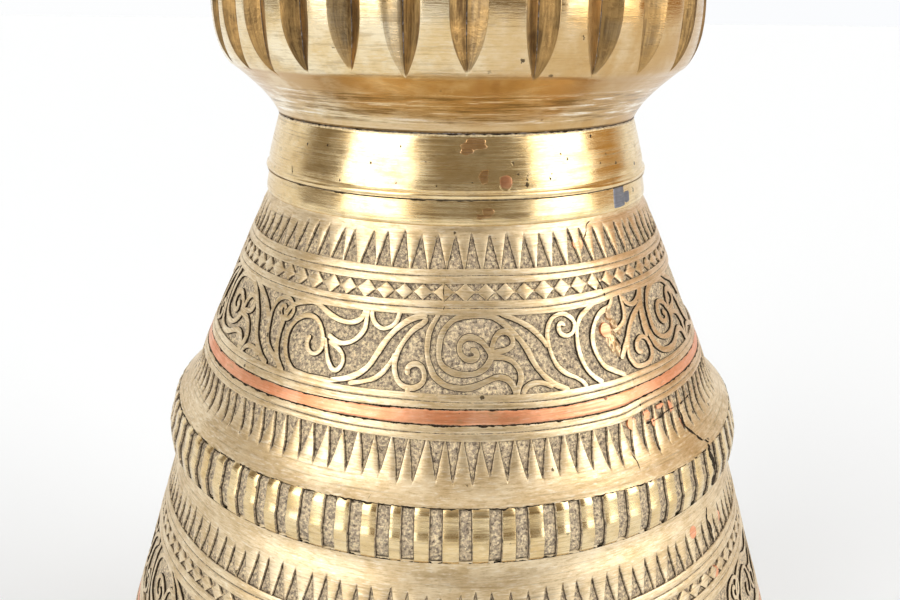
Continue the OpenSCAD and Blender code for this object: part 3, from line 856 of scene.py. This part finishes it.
knopGrids = [knopGrid(), turned(knopInside, 180, dented=0.0)]
addPiece("neckKnop", knopGrids, "knopBrass", ["neck_knop"])
addPiece("neckCollar", [turned(collarFace, 720, collarGrimeAndShade)], "paleBrass", ["neck_collar"])
addPiece("mouthRim", [turned(mouthFace, 360)], "paleBrass", ["mouth_rim"])
print("neck and mouth turned")


# ---- bowl and foot ----

bowlFace = np.vstack([
    [(84, 28)], bend((96, 28), (164, 46), (168, 115), 40),
    [(165, 115), (165, 139), (162, 139), (162, 111)],
    bend((164.6, 102), (158, 49), (95, 31), 30), [(84, 31), (84, 28)]])
footFace = np.vstack([
    [(104, 0), (111.4, 0), (112, 0.6), (112, 3.6), (111.6, 4.4)], bend((111, 5.5), (98, 7), (98, 17), 12),
    arc((98, 22), 5, -90, 90, 12),
    [(96, 28), (88, 28), (88, 25), (84, 25), (84, 22), (95, 17), (95, 10), (104, 0)]])
addPiece("lowerBowl", [turned(bowlFace, 480)], "brass", ["lower_bowl"])
addPiece("footRing", [turned(footFace, 360)], "brass", ["foot_ring"])
print("bowl and foot turned")


# ---- copper bands ----

inlay = {"gap": 0.28, "ragged": 0.045, "waves": (31, 53, 97, 171, 293), "seed": 50}


# Strip of copper let in below the brass. Each edge wavers by a sum of sines of whole turns
def inlayBand(low, high):
    section = np.array([  # share of the height, depth, and grime with painted shade where the edges turn down into the gap
        (0, 1.1, 1), (0.012, 0.34, 0.7), (0.05, 0.16, 0), (0.2, 0.08, 0), (0.5, 0.04, 0), (0.8, 0.08, 0),
        (0.95, 0.16, 0), (0.988, 0.34, 0.7), (1, 1.1, 1)])
    angle = fullTurn(1440)[None, :]
    chance = np.random.default_rng(inlay["seed"])
    shift = chance.uniform(0, 6.28, (len(inlay["waves"]), 2, 1))
    waves = np.array(inlay["waves"])[:, None, None]
    lower, upper = inlay["ragged"] * np.sin(waves * angle + shift).sum(0)
    bottom, top = low + inlay["gap"] + lower, high - inlay["gap"] + upper
    height = bottom + (top - bottom) * section[:, :1]
    return makeGrid(onFace("wall", angle, height, section[:, 1:2]), section[:, 2:3])


# Floor of the groove that the strip lies in, painted dark as shade where the gap shows it
def inlayBed(low, high):
    height = np.array([low, high])[:, None]
    return makeGrid(onFace("wall", fullTurn(360)[None, :], height, 1.0), 1.0)


for name, node in (("upper", "upper_copper_band"), ("lower", "lower_copper_band")):
    low, high = tiers[name]["inlay"]
    addPiece(name + "CopperBand", [inlayBand(low, high)], "copper", [node])
    addPiece(name + "InlayBed", [inlayBed(low, high)], "brass")
print("copper let in")


# ---- joints, cracks and spilt metal ----

crustAndShadowLift = 0.05  # mm


# Dark ribbon in a joint or crack, along a line on a face, ragged in width and lifted a hair: dark crust, and
# in the gaps under the rings, the collar lip and the knop a painted shadow
def crustAndShadowLine(face, points, width, ragged, seed):
    chance = np.random.default_rng(seed)
    middle = np.mean(points, axis=0)
    scale = radiusAt(face, middle[1]) * deg
    line, run = smoothLine([(a * scale, z) for a, z in points], 0.5)
    ahead = np.gradient(line, axis=0)
    ahead /= np.linalg.norm(ahead, axis=1)[:, None]
    side = np.stack([ahead[:, 1], -ahead[:, 0]], 1)
    smooth = np.convolve(chance.normal(0, 1, len(run) + 8), np.hanning(9) / 2, mode="valid")
    quick = chance.normal(0, 1, len(run))
    half = width / 2 * np.clip(1 + ragged * (0.9 * smooth + 0.35 * quick), 0.02, 4)
    half *= np.clip(np.minimum(run, run[-1] - run) / 1.5, 0.02, 1)
    sideways = chance.normal(0, 0.04, len(run)) + 0.12 * ragged * smooth
    share = np.array([-1, 0, 1])[:, None]
    at = line[None] + side[None] * (share * half + sideways)[..., None]
    return makeGrid(onFace(face, at[::-1, :, 0] / scale * deg, at[::-1, :, 1], -crustAndShadowLift), 1.0, closed=False)


def roundLine(height):
    return [(a, height) for a in range(-180, 181, 5)]


# joints painted dark: painted shadow in the gaps under the rings, the collar's lip and the knop, crust along
# the copper bands
joints = [  # face, height, width in mm, raggedness
    ("knop", 406.2, 0.26, 1.4), ("wall", 382.4, 0.14, 1.4), ("wall", 260.9, 0.75, 0.9),
    ("wall", 281.6, 0.16, 1.4), ("wall", 139.2, 0.6, 0.9), ("wall", 306.35, 0.3, 1.0),
    ("wall", 311.85, 0.3, 1.0), ("wall", 173.2, 0.4, 1.0), ("wall", 179.3, 0.4, 1.0),
]
cracks = [  # face, line of (angle, height), width in mm, raggedness
    ("wall", [(49.5, 297.5), (50.6, 294), (50.2, 291), (51.6, 287.5), (52.6, 284.5), (54.2, 282.6)],
     0.95, 0.7),
    ("wall", [(53.6, 282.6), (53, 279), (54, 274), (53.4, 268), (53.8, 262.5)], 1.9, 0.7),
    ("wall", [(53.8, 252), (53, 247.5), (53.9, 243), (53.6, 236)], 1.3, 0.6),
    ("wall", [(33.6, 291), (34.2, 288), (34, 285)], 0.4, 0.5),
    ("wall", [(-2.2, 356.5), (-2.5, 352), (-2.3, 347), (-2.5, 343.4)], 0.22, 0.6),
    ("wall", [(-13.3, 284), (-13.6, 282)], 0.2, 0.4),
    ("wall", [(39, 297.6), (42, 297), (46, 297.8), (51, 297.4), (56, 297.9)], 0.45, 0.8),
    ("wall", [(34, 366), (35.4, 368.4), (36.2, 370.6), (38, 371.8)], 0.35, 0.7),
    ("wall", [(36, 332), (37.2, 328.5), (37.8, 325), (37.6, 322)], 0.55, 0.9),
    ("wall", [(35, 352.6), (36.2, 348.6), (36.5, 344)], 0.3, 0.8),
    ("wall", [(38.4, 316), (38.6, 312.4)], 0.3, 0.6),
    ("wall", [(38.7, 305.8), (38.8, 302), (39, 297.8)], 0.4, 0.8),
    ("collar", [(-51.6, 385.5), (-52, 387), (-52.4, 389)], 0.3, 0.5),
]
lines = [(face, roundLine(height), width, ragged) for face, height, width, ragged in joints] + cracks
gaps = [crustAndShadowLine(*line, seed=60 + k) for k, line in enumerate(lines)]
addPiece("jointCrustAndShadow", gaps, "brass")


# Drop of metal: a square grid pressed to a disc, x = u sqrt(1 - v^2/2) and y = v sqrt(1 - u^2/2),
# raised by (1 - reach)^0.4 with reach = u^2 + v^2 - u^2 v^2, which is 1 all round the edge
def drop(face, angle, height, wide, tall, thick, seed, base=0.0, ragged=0.05, round=1.0, steps=14,
         grimeAndShade=0.0):
    chance = np.random.default_rng(seed)
    u, v = np.meshgrid(np.linspace(-1, 1, steps + 1), np.linspace(-1, 1, steps + 1))
    x, y = u * np.sqrt(1 - round * v ** 2 / 2), v * np.sqrt(1 - round * u ** 2 / 2)
    turn = np.arctan2(y, x)
    reach = u ** 2 + v ** 2 - u ** 2 * v ** 2
    wobble = 1 + sum(ragged * np.sin(k * turn + chance.uniform(0, 6)) for k in (2, 3, 5))
    scale = radiusAt(face, height)
    lumps = 1 + 5 * ragged * np.sin(5 * x + chance.uniform(0, 6)) * np.cos(6 * y + chance.uniform(0, 6))
    lift = base + thick * lumps * np.clip(1 - reach, 0, 1) ** 0.4 - 0.2 * (reach > 0.98)
    angleAt = angle * deg + x * wobble * wide / 2 / scale
    points = onFace(face, angleAt, height + y * wobble * tall / 2, -lift, drifted=False)
    return makeGrid(points, grimeAndShade, closed=False)


spilt = [  # angle, height, width, height, thickness over the sunk ground
    (36.2, 338.8, 3.2, 5.2, 1.3), (37.3, 334.4, 3.4, 4.2, 1.2), (38.4, 331.6, 2, 3.2, 1.1),
    (35.6, 328.8, 4.4, 9, 0.75), (36.8, 326.2, 3.2, 7, 0.9), (36.4, 331.2, 2.6, 4, 0.9),
]
lumps = [drop("wall", *lump, 80 + k, base=-relief["depth"], ragged=0.07) for k, lump in enumerate(spilt)]
addPiece("spiltMetal", lumps, "redBrass")

rivetAngles = (12.7, 132.7, -107.3)
heads = [drop("collar", angle, 389, 5.3, 5.3, 0.2, 95, ragged=0.008) for angle in rivetAngles]
rims = [drop("collar", angle - 0.15, 388.75, 6, 6, 0.06, 98, ragged=0.01) for angle in rivetAngles]
addPiece("rivetHeads", heads, "oldCopper", ["collar_rivets"])
addPiece("rivetRims", rims, "paleBrass")

patch = [drop("wall", 50.9, 377.9, 9.6, 9.8, 0.16, 90, ragged=0.01, round=0.3),
         drop("wall", 55.2, 377.6, 6, 5.4, 0.08, 91)]
addPiece("tinPatch", patch, "tin", ["tin_plug"])

stains = [  # face, angle, height, width and height across
    ("collar", 4.6, 402.3, 10.5, 4.4), ("collar", 2.6, 400, 5, 3), ("collar", 7, 391, 3.6, 6),
    ("wall", 8, 378, 4.6, 4.2), ("wall", 6, 376.6, 3, 2)]
films = [drop(*stain, 0.025, 110 + k, ragged=0.09) for k, stain in enumerate(stains)]
addPiece("copperStains", films, "stainedBrass")

splashes = [(39.8, 300, 4.4, 3.6), (47.6, 298.8, 2.6, 4.2), (44.2, 301, 5.5, 1.6), (41.4, 296.4, 2.4, 3)]
spots = [drop("wall", *splash, 0.05, 120 + k, ragged=0.1) for k, splash in enumerate(splashes)]
addPiece("copperSplashes", spots, "copper")

specks = [  # angle, height and size on the collar
    (-23, 394.5, 1.2), (-15, 401, 0.9), (-15.5, 388, 0.9), (-32, 387, 1.1), (31, 396, 1.2), (25, 389.5, 1.3),
    (25.6, 391.2, 0.8), (43, 393, 0.9), (29, 398, 1), (16, 391.6, 0.9), (18.4, 389.6, 1), (18.6, 391, 0.7),
    (-5, 387.6, 0.8), (4, 389, 0.7), (40.6, 403.4, 1.2), (46, 396, 0.8), (-38, 399, 0.9), (-8, 396, 0.6)]
pits = [drop("collar", angle, height, size * 0.8, size, 0.03, 130 + k, ragged=0.16, steps=8, grimeAndShade=1.0)
        for k, (angle, height, size) in enumerate(specks)]
addPiece("castingPits", pits, "brass")
print("joints and cracks laid")


# ---- CAD nodes that keep their own shape ----

for node, look in (("base_disc", "paleBrass"), ("copper_plugs", "copper")):
    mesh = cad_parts[node].data
    mesh.materials.clear()
    mesh.materials.append(materials[look])


# ---- floor, light and camera ----

floorMesh = bpy.data.meshes.new("floor")
reach = 30.0  # metres
corners = [(-reach, -reach, 0), (reach, -reach, 0), (reach, reach, 0), (-reach, reach, 0)]
floorMesh.from_pydata(corners, [], [(0, 1, 2, 3)])
floor = bpy.data.objects.new("floor", floorMesh)
bpy.context.collection.objects.link(floor)
floorMaterial = bpy.data.materials.new("paleFloor")
floorMaterial.use_nodes = True
floorShader = floorMaterial.node_tree.nodes["Principled BSDF"]
floorShader.inputs["Base Color"].default_value = rgba(0.88, 0.91, 0.945)
floorShader.inputs["Roughness"].default_value = 0.9
floorMesh.materials.append(floorMaterial)

studio = {
    "room": rgba(0.25, 0.205, 0.145), "roomTop": rgba(1.0, 0.96, 0.9), "warmBoard": rgba(0.5, 0.29, 0.09),
    "backdropLeft": rgba(0.985, 0.99, 0.995), "backdropRight": rgba(0.965, 0.975, 0.99),
    "backdropStarts": (-98, 114), "boardStarts": 84, "boardTop": 60,  # degrees
    "panels": [  # angle from the front, low and high, elevation low and high, brightness
        (-72, -24, -30, 52, 3.6), (44, 88, -30, 52, 4.0)],
}


# Studio sky: a dim room, a white backdrop behind, and two tall soft boxes beside the camera
def buildStudio():
    world = bpy.data.worlds.new("studio")
    bpy.context.scene.world = world
    world.use_nodes = True
    tree = world.node_tree
    tree.nodes.clear()
    ray = addNode(tree, "ShaderNodeTexCoord").outputs["Generated"]
    part = addNode(tree, "ShaderNodeSeparateXYZ", {0: ray})
    backwards = times(tree, part.outputs[1], -1.0)
    turn = times(tree, maths(tree, "ARCTAN2", part.outputs[0], backwards), 1 / deg)
    rise = times(tree, maths(tree, "ARCSINE", part.outputs[2]), 1 / deg)
    left, right = studio["backdropStarts"]
    behind = maths(tree, "MAXIMUM", remap(tree, turn, left, left - 12), remap(tree, turn, right, right + 12))
    colour = mixColour(tree, remap(tree, rise, 25, 70), studio["room"], studio["roomTop"])
    start, top = studio["boardStarts"], studio["boardTop"]
    warm = times(tree, remap(tree, turn, start, start + 8), remap(tree, rise, top, top - 20))
    colour = mixColour(tree, warm, colour, studio["warmBoard"])
    backdrop = mixColour(tree, remap(tree, turn, -1, 1), studio["backdropLeft"], studio["backdropRight"])
    colour = mixColour(tree, behind, colour, backdrop)
    for left, right, low, high, power in studio["panels"]:
        inside = times(tree, remap(tree, turn, left, left + 7), remap(tree, turn, right, right - 7))
        upright = times(tree, remap(tree, rise, low, low + 6), remap(tree, rise, high, high - 12))
        lit = times(tree, inside, upright)
        colour = mixColour(tree, lit, colour, (power, power * 0.99, power * 0.97, 1))
    shine = addNode(tree, "ShaderNodeBackground", {"Color": colour, "Strength": 1.0})
    addNode(tree, "ShaderNodeOutputWorld", {"Surface": shine.outputs[0]})


buildStudio()

view = {"place": (-1.8, -400, 450), "down": 18.54, "roll": 0.75, "lens": 35, "sensor": 36}  # mm, degrees
cameraData = bpy.data.cameras.new("camera")
cameraData.lens = view["lens"]
cameraData.sensor_width = view["sensor"]
cameraData.clip_start = 0.01
camera = bpy.data.objects.new("camera", cameraData)
bpy.context.collection.objects.link(camera)
aim = Matrix.Rotation((90 - view["down"]) * deg, 4, "X") @ Matrix.Rotation(view["roll"] * deg, 4, "Z")
camera.matrix_world = Matrix.Translation([v * mm for v in view["place"]]) @ aim
bpy.context.scene.camera = camera
bpy.context.scene.view_settings.view_transform = "Standard"
print("studio ready")
